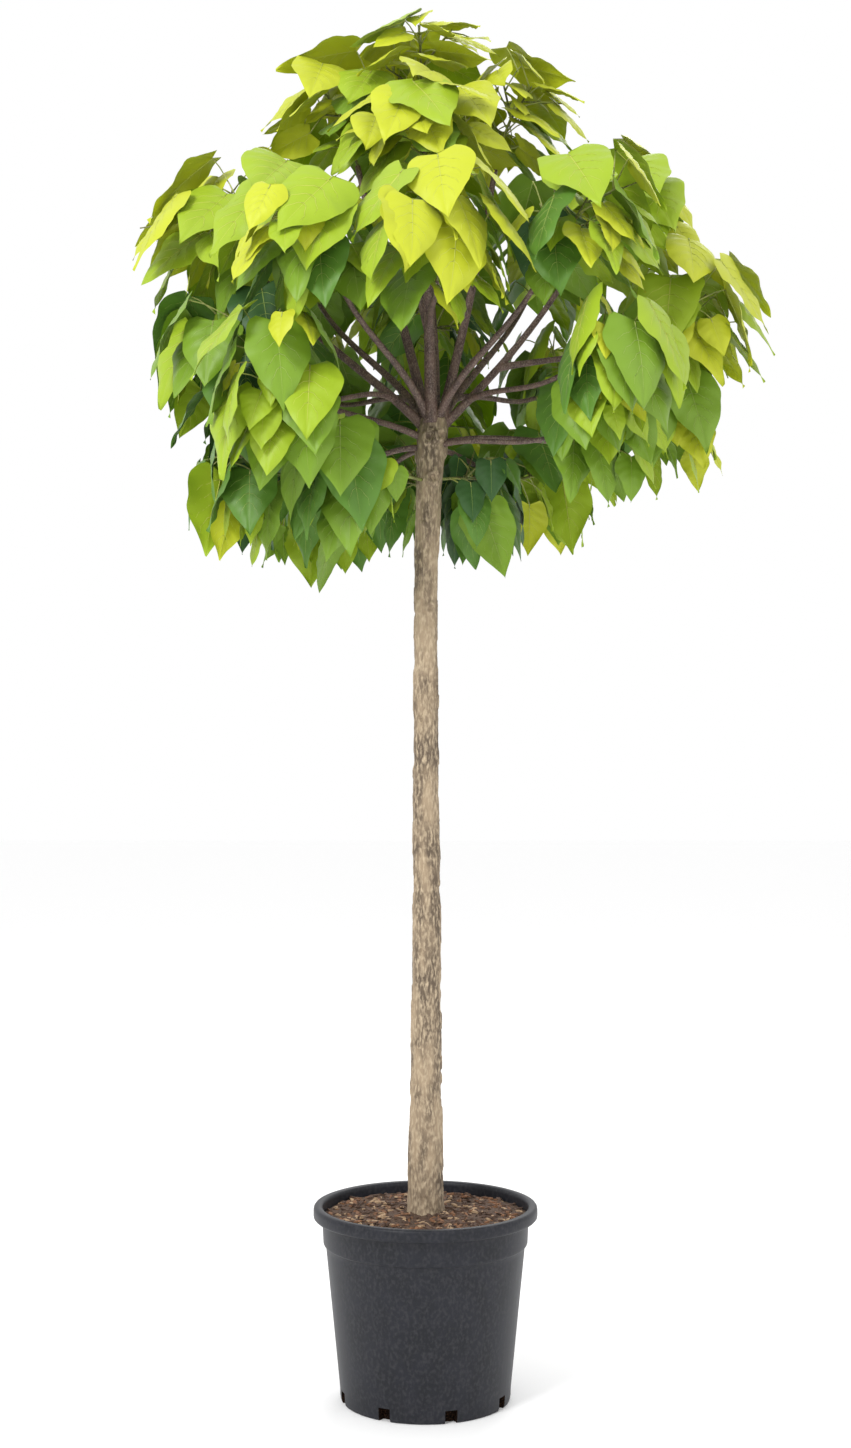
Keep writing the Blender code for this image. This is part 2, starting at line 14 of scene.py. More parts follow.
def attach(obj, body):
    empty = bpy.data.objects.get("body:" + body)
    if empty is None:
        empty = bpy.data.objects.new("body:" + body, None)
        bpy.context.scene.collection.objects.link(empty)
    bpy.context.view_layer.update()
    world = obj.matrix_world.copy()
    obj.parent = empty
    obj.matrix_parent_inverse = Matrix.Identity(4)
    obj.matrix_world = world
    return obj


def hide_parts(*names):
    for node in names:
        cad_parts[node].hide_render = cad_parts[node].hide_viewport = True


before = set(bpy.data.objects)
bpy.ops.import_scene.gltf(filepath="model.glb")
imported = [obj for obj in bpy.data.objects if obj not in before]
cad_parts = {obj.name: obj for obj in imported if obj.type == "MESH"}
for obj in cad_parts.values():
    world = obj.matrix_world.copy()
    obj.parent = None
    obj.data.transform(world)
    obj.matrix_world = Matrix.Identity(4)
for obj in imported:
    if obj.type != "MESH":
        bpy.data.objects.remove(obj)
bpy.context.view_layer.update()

# The trunk
# A clear stem of catalpa, pruned up to its head for years, with beige bark that flakes in upright plates.
# It stands in the mulch, and swells into a knuckle where the head was cut back and the boughs sprang out.
SOIL_TOP, GAP = 0.373, 0.0003
# Height, radius, and how far the middle leans towards +X.
TRUNK_FORM = (
    (SOIL_TOP + GAP, 0.0390, 0.000),
    (0.395, 0.0368, 0.000),
    (0.450, 0.0345, 0.000),
    (0.600, 0.0312, 0.001),
    (0.800, 0.0290, 0.002),
    (1.050, 0.0268, 0.002),
    (1.300, 0.0248, 0.001),
    (1.550, 0.0234, 0.001),
    (1.720, 0.0234, 0.003),
    (1.810, 0.0246, 0.006),
    (1.870, 0.0264, 0.010),
    (1.915, 0.0300, 0.013),
    (1.945, 0.0310, 0.015),
    (1.965, 0.0270, 0.016),
    (1.976, 0.0160, 0.016),
)
TRUNK_ROWS, TRUNK_COLUMNS = 620, 128
TRUNK_SUNK = 0.006
TRUNK_CLOSING = 0.012
BARK_BED = 0.0012
# Plates of bark: cells round the trunk, cells up it, seed, and how far they stand out.
BARK_PLATES = ((7, 26, 3, 0.0019), (13, 58, 5, 0.0013))
PLATE_LEVEL, PLATE_EDGE, PLATE_WAVE, PLATE_WAVES = 0.47, 0.06, 0.04, 40
# Roughness of the bark: cells round, cells up, seed and height.
BARK_GRIT = ((60, 300, 7, 0.0007), (24, 120, 8, 0.0006))
# Knots: how high they are, which way they face, how wide, and how far they stand out.
KNOTS = (
    (1.360, 250, 0.009, 0.0020),
    (1.585, 292, 0.011, 0.0030),
    (1.845, 285, 0.014, 0.0045),
    (1.925, 262, 0.015, 0.0045),
    (1.930, 300, 0.013, 0.0040),
    (1.900, 40, 0.016, 0.0050),
    (1.890, 150, 0.015, 0.0045),
    (0.900, 255, 0.010, 0.0022),
    (0.640, 20, 0.012, 0.0030),
    (1.120, 110, 0.011, 0.0030),
)
KNOT_RIM, KNOT_RIM_SHARPNESS, KNOT_HOLLOW, KNOT_HOLLOW_SHARPNESS = 0.8, 9, 0.9, 6


def mesh_piece(name, points, faces, material, smooth=True):
    """An object with these points and faces, on the one body."""
    mesh = bpy.data.meshes.new(name)
    mesh.from_pydata(np.asarray(points).reshape(-1, 3).tolist(), [], np.asarray(faces).tolist())
    mesh.validate()
    mesh.polygons.foreach_set("use_smooth", [smooth] * len(mesh.polygons))
    mesh.materials.append(material)
    mesh.update()
    piece = bpy.data.objects.new(name, mesh)
    bpy.context.scene.collection.objects.link(piece)
    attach(piece, "root")
    return piece


def grid_faces(rows, columns, closed):
    """Quads of a grid of points held row by row, joined round its columns if closed."""
    row = np.arange(rows - 1)[:, None] * columns
    column = np.arange(columns if closed else columns - 1)[None, :]
    after = (column + 1) % columns
    return np.stack(
        [row + column, row + after, row + columns + after, row + columns + column], axis=-1
    ).reshape(-1, 4)


def mottle_group():
    """Three colours mixed by a broad and a fine noise, in grains that can be drawn out along Z."""
    fine_times = 7.0
    mix_first, mix_second, mix_colour = 6, 7, 2
    group = bpy.data.node_groups.new("mottle", "ShaderNodeTree")
    for name, kind in (
        ("Scale", "NodeSocketFloat"),
        ("Upright", "NodeSocketFloat"),
        ("Dark", "NodeSocketColor"),
        ("Middle", "NodeSocketColor"),
        ("Light", "NodeSocketColor"),
    ):
        group.interface.new_socket(name=name, in_out="INPUT", socket_type=kind)
    group.interface.new_socket(name="Colour", in_out="OUTPUT", socket_type="NodeSocketColor")
    group.interface.new_socket(name="Grain", in_out="OUTPUT", socket_type="NodeSocketFloat")
    nodes, links = group.nodes, group.links
    enter, leave = nodes.new("NodeGroupInput"), nodes.new("NodeGroupOutput")
    place = nodes.new("ShaderNodeTexCoord")
    stretch = nodes.new("ShaderNodeCombineXYZ")
    stretch.inputs["X"].default_value = stretch.inputs["Y"].default_value = 1.0
    links.new(enter.outputs["Upright"], stretch.inputs["Z"])
    drawn = nodes.new("ShaderNodeVectorMath")
    drawn.operation = "MULTIPLY"
    links.new(place.outputs["Object"], drawn.inputs[0])
    links.new(stretch.outputs["Vector"], drawn.inputs[1])
    broad = nodes.new("ShaderNodeTexNoise")
    broad.inputs["Detail"].default_value = 6.0
    fine = nodes.new("ShaderNodeTexNoise")
    fine.inputs["Detail"].default_value = 8.0
    times = nodes.new("ShaderNodeMath")
    times.operation = "MULTIPLY"
    times.inputs[1].default_value = fine_times
    links.new(enter.outputs["Scale"], broad.inputs["Scale"])
    links.new(enter.outputs["Scale"], times.inputs[0])
    links.new(times.outputs[0], fine.inputs["Scale"])
    links.new(drawn.outputs[0], broad.inputs["Vector"])
    links.new(drawn.outputs[0], fine.inputs["Vector"])
    shares = []
    for source, low, high in ((broad, 0.40, 0.60), (fine, 0.45, 0.70)):
        share = nodes.new("ShaderNodeMapRange")
        share.inputs["From Min"].default_value = low
        share.inputs["From Max"].default_value = high
        links.new(source.outputs["Fac"], share.inputs["Value"])
        shares.append(share)
    mixed = None
    for share, name in zip(shares, ("Middle", "Light")):
        mix = nodes.new("ShaderNodeMix")
        mix.data_type = "RGBA"
        links.new(share.outputs["Result"], mix.inputs["Factor"])
        links.new(mixed.outputs[mix_colour] if mixed else enter.outputs["Dark"], mix.inputs[mix_first])
        links.new(enter.outputs[name], mix.inputs[mix_second])
        mixed = mix
    links.new(mixed.outputs[mix_colour], leave.inputs["Colour"])
    links.new(fine.outputs["Fac"], leave.inputs["Grain"])
    return group


MOTTLE = mottle_group()


def mottled(name, dark, middle, light, scale, upright, rough, bump, height):
    """A Principled surface with the mottle's colours, its grain in the roughness and as relief."""
    smoother, rougher = 0.12, 0.08
    material = bpy.data.materials.new(name)
    material.use_nodes = True
    nodes, links = material.node_tree.nodes, material.node_tree.links
    shader = nodes["Principled BSDF"]
    mottle = nodes.new("ShaderNodeGroup")
    mottle.node_tree = MOTTLE
    mottle.inputs["Scale"].default_value = scale
    mottle.inputs["Upright"].default_value = upright
    for socket, colour in (("Dark", dark), ("Middle", middle), ("Light", light)):
        mottle.inputs[socket].default_value = (*colour, 1.0)
    links.new(mottle.outputs["Colour"], shader.inputs["Base Color"])
    dull = nodes.new("ShaderNodeMapRange")
    dull.inputs["To Min"].default_value = rough - smoother
    dull.inputs["To Max"].default_value = rough + rougher
    links.new(mottle.outputs["Grain"], dull.inputs["Value"])
    links.new(dull.outputs["Result"], shader.inputs["Roughness"])
    relief = nodes.new("ShaderNodeBump")
    relief.inputs["Strength"].default_value = bump
    relief.inputs["Distance"].default_value = height
    links.new(mottle.outputs["Grain"], relief.inputs["Height"])
    links.new(relief.outputs["Normal"], shader.inputs["Normal"])
    return material


def lattice_noise(across, along, cells_across, cells_along, seed):
    """Smooth noise from 0 to 1: random values on a grid that closes round across (0 to 1), blended
    with a cosine ease between its corners. along also runs from 0 to 1."""
    rng = np.random.default_rng(seed)
    values = rng.random((cells_along + 2, cells_across))
    x = (across % 1.0) * cells_across
    y = np.clip(along, 0.0, 1.0) * cells_along
    column, row = np.floor(x).astype(int), np.floor(y).astype(int)
    share_x = (1 - np.cos((x - column) * math.pi)) / 2
    share_y = (1 - np.cos((y - row) * math.pi)) / 2
    left, right = column % cells_across, (column + 1) % cells_across
    low = values[row, left] * (1 - share_x) + values[row, right] * share_x
    high = values[row + 1, left] * (1 - share_x) + values[row + 1, right] * share_x
    return low * (1 - share_y) + high * share_y


def make_trunk():
    """Radius from the height, plus plates of bark, which are noise drawn out upright and cut off into
    steps, a finer roughness, and knots: a low ring round a hollow, by the distance from its middle."""
    heights, radii, leans = np.array(TRUNK_FORM).T
    height = np.linspace(heights[0] - TRUNK_SUNK, heights[-1], TRUNK_ROWS)
    angle = np.linspace(0, math.tau, TRUNK_COLUMNS, endpoint=False)
    z, turn = np.meshgrid(height, angle, indexing="ij")
    radius = np.interp(z, heights, radii)
    lean = np.interp(z, heights, leans)
    along = (z - height[0]) / (height[-1] - height[0])
    across = turn / math.tau
    relief = np.zeros_like(z)
    for cells, tall, seed, step in BARK_PLATES:
        noise = lattice_noise(across + PLATE_WAVE * np.sin(along * PLATE_WAVES), along, cells, tall, seed)
        relief += step * np.clip((noise - PLATE_LEVEL) / PLATE_EDGE, 0, 1)
    for cells, tall, seed, step in BARK_GRIT:
        relief += step * (lattice_noise(across, along, cells, tall, seed) - 0.5)
    for knot_height, facing, wide, out in KNOTS:
        aside = (np.mod(turn - math.radians(facing) + math.pi, math.tau) - math.pi) * radius
        away = np.sqrt(aside**2 + (z - knot_height) ** 2) / wide
        rim = np.exp(-((away - KNOT_RIM) ** 2) * KNOT_RIM_SHARPNESS)
        relief += out * (rim - KNOT_HOLLOW * np.exp(-(away**2) * KNOT_HOLLOW_SHARPNESS))
    closing = np.clip((height[-1] - z) / TRUNK_CLOSING, 0, 1) ** 0.5
    shown = (radius + relief - BARK_BED) * np.where(z > height[-1] - TRUNK_CLOSING, closing, 1.0)
    points = np.stack([lean + shown * np.cos(turn), shown * np.sin(turn), z], axis=-1)
    bark = mottled(
        "beige bark",
        dark=(0.115, 0.083, 0.055),
        middle=(0.340, 0.255, 0.165),
        light=(0.51, 0.405, 0.275),
        scale=30.0,
        upright=0.34,
        rough=0.84,
        bump=0.8,
        height=0.0018,
    )
    trunk = mesh_piece("trunk-bark", points, grid_faces(TRUNK_ROWS, TRUNK_COLUMNS, True), bark)
    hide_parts("trunk")


make_trunk()

# The boughs
# Shoots of two to four years that spring from the cut head, dark purple-brown, smooth and finely dotted.
# Each swells where it leaves the head or another bough. They follow the same plan as the solids.
HEAD = Vector((0.014, 0.0, 1.940))
# The plan of the crown: name, carrier, place of the foot on it, azimuth and rise of the foot, foot radius,
# middle of the mass of leaves, its half width and half height, and its number of full-grown leaves.
Mass = namedtuple("Mass", "name carrier place azimuth rise foot_radius middle wide high leaves")
CROWN_PLAN = (
    ("top-left", "head", 0.016, 150, 80, 0.0110, (-0.16, 0.01, 2.565), 0.185, 0.180, 15),
    ("top-right", "head", 0.014, 350, 76, 0.0105, (0.16, 0.01, 2.560), 0.190, 0.180, 15),
    ("top-front", "head", 0.016, 262, 80, 0.0130, (0.00, -0.18, 2.470), 0.200, 0.180, 15),
    ("top-back", "head", 0.014, 78, 76, 0.0105, (0.00, 0.19, 2.490), 0.200, 0.180, 14),
    ("crest", "top-front", 0.50, 150, 70, 0.0075, (-0.01, -0.01, 2.645), 0.205, 0.120, 13),
    ("upper-left", "head", 0.000, 181, 46, 0.0100, (-0.40, 0.00, 2.315), 0.225, 0.205, 18),
    ("upper-left-front", "head", 0.006, 232, 62, 0.0085, (-0.21, -0.30, 2.250), 0.210, 0.200, 16),
    ("upper-front", "top-front", 0.34, 272, 45, 0.0070, (0.03, -0.38, 2.210), 0.200, 0.200, 14),
    ("upper-right-front", "head", 0.006, 305, 58, 0.0085, (0.27, -0.28, 2.270), 0.210, 0.200, 15),
    ("upper-right", "head", -0.002, 357, 44, 0.0090, (0.37, 0.00, 2.360), 0.210, 0.200, 16),
    ("upper-right-back", "head", 0.004, 38, 56, 0.0090, (0.26, 0.29, 2.320), 0.210, 0.200, 14),
    ("upper-back", "top-back", 0.34, 92, 46, 0.0070, (-0.01, 0.40, 2.270), 0.210, 0.200, 14),
    ("upper-left-back", "head", 0.004, 132, 54, 0.0090, (-0.28, 0.28, 2.310), 0.210, 0.200, 14),
    ("middle-left", "head", -0.020, 200, 26, 0.0065, (-0.38, -0.03, 2.060), 0.215, 0.200, 17),
    ("middle-left-front", "upper-left", 0.26, 232, 14, 0.0055, (-0.29, -0.27, 1.970), 0.190, 0.200, 14),
    ("middle-right-front", "upper-right", 0.22, 310, 12, 0.0060, (0.33, -0.27, 2.030), 0.200, 0.195, 14),
    ("middle-right", "upper-right", 0.50, 352, 10, 0.0065, (0.51, 0.00, 2.145), 0.215, 0.200, 16),
    ("middle-right-back", "upper-right-back", 0.26, 30, 14, 0.0060, (0.30, 0.28, 2.050), 0.200, 0.200, 14),
    ("middle-back", "head", -0.018, 88, 28, 0.0065, (0.02, 0.40, 2.000), 0.210, 0.205, 14),
    ("middle-left-back", "upper-left-back", 0.26, 142, 14, 0.0060, (-0.27, 0.29, 2.040), 0.210, 0.205, 14),
    ("inner-back", "middle-back", 0.34, 100, 62, 0.0055, (0.00, 0.19, 2.200), 0.200, 0.170, 12),
    ("low-right", "head", -0.026, 352, 14, 0.0055, (0.48, 0.02, 1.940), 0.160, 0.150, 9),
    ("skirt-left", "head", -0.034, 186, 4, 0.0055, (-0.33, -0.02, 1.830), 0.185, 0.190, 13),
    ("skirt-left-front", "trunk", -0.100, 232, 20, 0.0, (-0.17, -0.16, 1.810), 0.140, 0.160, 8),
    ("skirt-right-front", "head", -0.030, 330, 12, 0.0055, (0.33, -0.13, 1.920), 0.170, 0.160, 11),
    ("skirt-right", "trunk", -0.095, 15, 15, 0.0, (0.11, 0.09, 1.800), 0.140, 0.170, 8),
    ("skirt-right-back", "head", -0.036, 52, 4, 0.0050, (0.24, 0.28, 1.860), 0.180, 0.180, 11),
    ("skirt-back", "trunk", -0.105, 100, 15, 0.0, (-0.04, 0.20, 1.840), 0.160, 0.160, 9),
    ("skirt-left-back", "head", -0.036, 140, 4, 0.0050, (-0.22, 0.25, 1.800), 0.180, 0.180, 11),
)
CROWN = [Mass(*row) for row in CROWN_PLAN]
BOUGH_STEPS, BOUGH_FINE_STEPS, BOUGH_SIDES = 5, 40, 16
FOOT_DEPTH = 0.012
STEEP, STEEP_FOOT_DEPTH = 70, 0.0165
TIP_SHARE, TIP_TAPER, SLIMMEST_TIP = 0.50, 0.5, 0.0046
TIP_LIFT, BEND = 0.25, 0.36
FOOT_SWELL, FOOT_REACH = 0.30, 0.030
RING_SWELL, RING_EVERY = 0.05, 0.055


def heading(azimuth, rise):
    """The direction at an azimuth and a rise in degrees."""
    level = math.cos(math.radians(rise))
    turn = math.radians(azimuth)
    return Vector((level * math.cos(turn), level * math.sin(turn), math.sin(math.radians(rise))))


def curve(start, leaving, end, arriving, steps):
    """Points on a cubic that leaves and arrives in the given directions, each for the same share of the
    distance between its ends."""
    reach = (end - start).length * BEND
    a, b, c, d = start, start + leaving * reach, end - arriving * reach, end
    points = []
    for i in range(steps + 1):
        t = i / steps
        s = 1 - t
        points.append(a * s**3 + b * 3 * s * s * t + c * 3 * s * t * t + d * t**3)
    return points


def tubes(name, runs, sides, material):
    """Tapering round tubes joined in one mesh. Each run is (points, radii): a ring stands square to the
    run at every point, and each end is closed by drawing a last ring into the end point."""
    never_along = (0.31, 0.17, 0.93)
    turns = np.linspace(0, math.tau, sides, endpoint=False)
    all_points, all_faces, start = [], [], 0
    for points, radii in runs:
        path = np.array([tuple(point) for point in points])
        ahead = np.gradient(path, axis=0)
        ahead /= np.linalg.norm(ahead, axis=1, keepdims=True)
        side = np.cross(ahead, never_along)
        side /= np.linalg.norm(side, axis=1, keepdims=True)
        other = np.cross(ahead, side)
        ring = side[:, None] * np.cos(turns)[None, :, None] + other[:, None] * np.sin(turns)[None, :, None]
        tube = path[:, None] + ring * np.asarray(radii)[:, None, None]
        ends = np.stack([np.repeat(path[:1], sides, 0), *tube, np.repeat(path[-1:], sides, 0)])
        all_points.append(ends.reshape(-1, 3))
        all_faces.append(grid_faces(len(path) + 2, sides, True) + start)
        start += ends.size // 3
    return mesh_piece(name, np.concatenate(all_points), np.concatenate(all_faces), material)


def bough_path(mass, carriers, steps):
    """A curve from the head or from a point of the carrier to the near half of the mass, and radii that
    run evenly from the foot's to the tip's."""
    leaving = heading(mass.azimuth, mass.rise)
    if mass.carrier == "head":
        outward = Vector((leaving.x, leaving.y, 0))
        start = HEAD + outward * FOOT_DEPTH + Vector((0, 0, mass.place))
        if mass.rise > STEEP:
            start = HEAD + outward.normalized() * STEEP_FOOT_DEPTH + Vector((0, 0, mass.place))
    else:
        points = carriers[mass.carrier][0]
        start = points[round(mass.place * (len(points) - 1))].copy()
    middle = Vector(mass.middle)
    toward = (middle - start).normalized()
    end = middle - toward * mass.wide * TIP_SHARE
    arriving = (toward + Vector((0, 0, TIP_LIFT))).normalized()
    tip_radius = max(SLIMMEST_TIP, mass.foot_radius * TIP_TAPER)
    radii = [mass.foot_radius + (tip_radius - mass.foot_radius) * i / steps for i in range(steps + 1)]
    return curve(start, leaving, end, arriving, steps), radii


carriers, shown_boughs = {}, []
with_boughs = [mass for mass in CROWN if mass.carrier != "trunk"]
for mass in with_boughs:
    carriers[mass.name] = bough_path(mass, carriers, BOUGH_STEPS)
    radii = carriers[mass.name][1]
    # The same curve in finer steps, from the same foot and to the same tip.
    fine, _ = bough_path(mass, carriers, BOUGH_FINE_STEPS)
    share = np.linspace(0, 1, BOUGH_FINE_STEPS + 1)
    radius = radii[0] + (radii[-1] - radii[0]) * share
    length = sum((b - a).length for a, b in zip(fine, fine[1:]))
    radius = radius * (1 + FOOT_SWELL * np.exp(-share * length / FOOT_REACH))
    # Low rings at even steps, as where buds and each year's growth began.
    radius = radius * (1 + RING_SWELL * np.cos(share * length / RING_EVERY * math.tau) ** 8)
    shown_boughs.append((fine, radius))

dark_bark = mottled(
    "purple-brown bark",
    dark=(0.060, 0.033, 0.030),
    middle=(0.135, 0.080, 0.065),
    light=(0.26, 0.19, 0.15),
    scale=60.0,
    upright=0.6,
    rough=0.62,
    bump=0.35,
    height=0.0006,
)
boughs = tubes("boughs", shown_boughs, BOUGH_SIDES, dark_bark)
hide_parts(*["bough-" + mass.name for mass in with_boughs])

# The twigs
# This year's green shoots: a stem runs on from each bough's tip, and side twigs leave it turned by the
# golden angle. Any that would leave its mass's space or touch a limb is left out, as in the solids.
STEM_RADIUS, STEM_FOOT, STEM_STEPS = 0.0056, 0.004, 4
STEM_OUT, STEM_UP, STEM_LIFT = 0.25, 0.35, 1.2
STEM_TRIES, STEM_ASIDE = 20, 0.35
LEAST_AWAY = 0.1
TWIG_RADIUS, TWIG_FOOT_RADIUS, TWIG_FOOT, TWIG_TAPER = 0.0040, 0.0011, 0.011, 0.45
TWIG_COUNT, TWIG_ANGLE, TWIG_LENGTHS = 5, math.radians(56), (0.40, 0.62)
GOLDEN_TURN = math.radians(137.5)
OVERRUN = 0.045
CELLS = {mass.name: (Vector(mass.middle), mass.wide, mass.high) for mass in CROWN}
SHOWN_TWIG_POINTS, SHOWN_TWIG_SIDES, SHOWN_TWIG_SHARE = 14, 8, 0.62


def between(rows, at, column):
    """A column's value at a place in the first column."""
    heights = [row[0] for row in rows]
    return float(np.interp(at, heights, [row[column] for row in rows]))


def tube_tree(points, radii):
    """A tube of three sides, closed at its ends, to test what it touches."""
    sides = 3
    bm = bmesh.new()
    directions = []
    for i in range(len(points)):
        ahead = points[min(i + 1, len(points) - 1)] - points[max(i - 1, 0)]
        directions.append(ahead.normalized())
    side = directions[0].orthogonal().normalized()
    rings = []
    for point, radius, direction in zip(points, radii, directions):
        side = (side - direction * side.dot(direction)).normalized()
        other = direction.cross(side)
        turns = [math.tau * k / sides for k in range(sides)]
        rings.append(
            [bm.verts.new(point + (side * math.cos(t) + other * math.sin(t)) * radius) for t in turns]
        )
    for low, high in zip(rings, rings[1:]):
        for k in range(sides):
            bm.faces.new((low[k], low[(k + 1) % sides], high[(k + 1) % sides], high[k]))
    bm.faces.new(rings[0][::-1])
    bm.faces.new(rings[-1])
    tree = BVHTree.FromBMesh(bm)
    bm.free()
    return tree


def in_cell(point, name):
    """Whether a point is in a mass's rounded space, and not much nearer to the middle of another."""
    centre, wide, high = CELLS[name]
    away = point - centre
    if (away.x / wide) ** 2 + (away.y / wide) ** 2 + (away.z / high) ** 2 > 1:
        return False
    own = away.length
    for other, (middle, _, _) in CELLS.items():
        if other != name:
            across = (middle - centre).length
            if ((point - middle).length_squared - own * own) / (2 * across) < -OVERRUN:
                return False
    return True


def stem_of(mass, aside):
    """A short straight foot, then a curve up and outwards through the mass."""
    middle, wide, high = Vector(mass.middle), mass.wide, mass.high
    if mass.carrier == "trunk":
        first, leaving = heading(mass.azimuth, 0), heading(mass.azimuth, mass.rise)
        height = HEAD.z + mass.place
        start = first * (between(TRUNK_FORM, height, 1) + GAP)
        start += Vector((between(TRUNK_FORM, height, 2), 0, height))
    else:
        points, _ = carriers[mass.name]
        first = leaving = (points[-1] - points[-2]).normalized()
        start = points[-1] + first * GAP
    away = Vector((middle.x, middle.y, 0))
    away = away.normalized() if away.length > LEAST_AWAY else Vector((0, 0, 1))
    top = middle + away * wide * STEM_OUT + Vector((0, 0, high * STEM_UP)) + aside
    foot = start + first * STEM_FOOT
    arriving = (away + Vector((0, 0, STEM_LIFT))).normalized()
    return [start] + curve(foot, leaving, top, arriving, STEM_STEPS)


def side_twigs(mass, stem, rng):
    """Straight twigs from the middles of the stem's stretches, one golden angle on from each other."""
    turn = rng.uniform(0, math.tau)
    twigs = []
    for k in range(TWIG_COUNT):
        low, high = stem[2 + k % 3], stem[3 + k % 3]
        joint = (low + high) / 2
        axis = (high - low).normalized()
        side = Matrix.Rotation(turn + k * GOLDEN_TURN, 3, axis) @ axis.orthogonal().normalized()
        out = axis * math.cos(TWIG_ANGLE) + side * math.sin(TWIG_ANGLE)
        twigs.append([joint, joint + out * TWIG_FOOT, joint + out * mass.wide * rng.uniform(*TWIG_LENGTHS)])
    return twigs


def grow_twigs(mass, limbs, rng):
    """The stem, with its end drawn again while it touches a limb, and the side twigs that fit."""
    aside = Vector((0, 0, 0))
    for _ in range(STEM_TRIES):
        stem = stem_of(mass, aside)
        radii = [STEM_RADIUS * (1 - TWIG_TAPER * i / (len(stem) - 1)) for i in range(len(stem))]
        tree = tube_tree(stem, radii)
        if not any(limb.overlap(tree) for limb in limbs):
            break
        aside = Vector([rng.uniform(-STEM_ASIDE, STEM_ASIDE) * mass.wide for _ in range(3)])
    twigs = [(stem, radii, tree)]
    for points in side_twigs(mass, stem, rng):
        radii = (TWIG_FOOT_RADIUS, TWIG_RADIUS, TWIG_RADIUS * (1 - TWIG_TAPER))
        tree = tube_tree(points, radii)
        inside = all(in_cell(point, mass.name) for point in points[1:])
        if inside and not any(limb.overlap(tree) for limb in limbs):
            twigs.append((points, radii, tree))
    return twigs


limbs = []
for name in ["trunk"] + ["bough-" + mass.name for mass in with_boughs]:
    bm = bmesh.new()
    bm.from_mesh(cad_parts[name].data)
    limbs.append(BVHTree.FromBMesh(bm))
    bm.free()
twigs_by_mass = {}
for seed, mass in enumerate(CROWN):
    twigs_by_mass[mass.name] = grow_twigs(mass, limbs, random.Random(seed))
    limbs += [tree for _, _, tree in twigs_by_mass[mass.name]]

shown_twigs = []
for mass in CROWN:
    for points, radii, _ in twigs_by_mass[mass.name]:
        steps = np.linspace(0, len(points) - 1, SHOWN_TWIG_POINTS)
        path = np.array([tuple(point) for point in points])
        fine = np.stack([np.interp(steps, np.arange(len(points)), path[:, k]) for k in range(3)], axis=1)
        drawn_in = np.interp(steps, np.arange(len(points)), radii)
        shown_twigs.append((fine, drawn_in * SHOWN_TWIG_SHARE))

green_bark = mottled(
    "green shoot",
    dark=(0.10, 0.085, 0.030),
    middle=(0.17, 0.20, 0.045),
    light=(0.30, 0.34, 0.10),
    scale=70.0,
    upright=0.5,
    rough=0.55,
    bump=0.2,
    height=0.0004,
)
twigs = tubes("twigs", shown_twigs, SHOWN_TWIG_SIDES, green_bark)

# The leaves
# Heart-shaped blades drawn out to a point, in whorls of three, thin and soft, folded along the midrib and
# quilted between the side veins. Each hangs from a long round stalk. Gold at the top, deep green inside:
# partly the leaves' own gold and green, partly painted light and shade, lighter where light falls on and
# through the leaves, darker where the crown shades them.
LEAF_LENGTH, LEAF_WIDTH, PETIOLE_LENGTH = 0.178, 0.80, 0.105
LEAF_ANGLE, NODE_SPACING, END_NODE = math.radians(58), 0.036, 0.1
ROOT_RADIUS, ROOT_DEPTH, JOINT_RADIUS = 0.0008, 0.008, 0.0021
WHORL, WHORL_TURN, OUTWARD = 3, 0.9, 0.5
SWING, ROLL = math.radians(35), math.radians(40)
LENGTHS, STALK_LENGTHS = (0.92, 1.0), (0.6, 1.1)
# How steeply the blades hang, in degrees, at each height.
HANG, HANG_SPREAD = ((1.70, 74), (2.00, 62), (2.30, 48), (2.60, 26), (2.80, 12)), 14
REACH = 0.38
LEAF_SIZES, LEAF_SEEDS = (1.0, 1.0, 0.92, 0.92, 0.84, 0.84, 0.76, 0.76, 0.68, 0.60), 1000
YOUNG_SIZES, YOUNG_COUNT, YOUNG_SEEDS = (0.62, 0.50, 0.40), 15, 2000
# The plain blade that keeps leaves apart: shares of its half width and of its length.
BLADE_OUTLINE = (
    (-0.60, -0.11, -0.02),
    (-1.0, 0.31, -0.05),
    (0.0, 1.0, -0.10),
    (1.0, 0.31, -0.05),
    (0.60, -0.11, -0.02),
)
LEAF_FACES = [(0, 1, 2), (0, 1, 4, 3), (1, 2, 5, 4), (2, 0, 3, 5)]
LEAF_FACES += [(3, 6, 7), (3, 7, 8), (3, 8, 9), (3, 9, 10), (3, 4, 6), (3, 10, 5)]
LEAF_FACES += [(4, 7, 6), (4, 8, 7), (4, 5, 8), (5, 9, 8), (5, 10, 9)]


def leaf_frame(heading_to, hang, roll):
    """The blade's directions across, along and up, from where it heads, how it hangs and its roll."""
    level = Vector((heading_to.x, heading_to.y, 0)).normalized()
    along = level * math.cos(hang) + Vector((0, 0, -math.sin(hang)))
    across = along.cross(Vector((0, 0, 1))).normalized()
    across = Matrix.Rotation(roll, 3, along) @ across
    return across, along, across.cross(along)


def triangle_ring(centre, across, up, radius):
    """Three points round a centre, the first of them straight up."""
    return [
        centre + (across * math.sin(turn) + up * math.cos(turn)) * radius
        for turn in (0.0, -math.tau / 3, math.tau / 3)
    ]


def leaf_points(node, base, leaf_axes, length):
    """A three-sided stalk and a plain blade of five corners, to test what the leaf touches."""
    across, along, up = leaf_axes
    bend = ((base - node).normalized() + along).normalized()
    level = (across - bend * across.dot(bend)).normalized()
    points = triangle_ring(node, level, level.cross(bend), ROOT_RADIUS)
    points += triangle_ring(base, level, level.cross(bend), JOINT_RADIUS)
    wide = LEAF_WIDTH * length / 2
    for x, y, z in BLADE_OUTLINE:
        points.append(base + across * (x * wide) + along * (y * length) + up * (z * length))
    return points


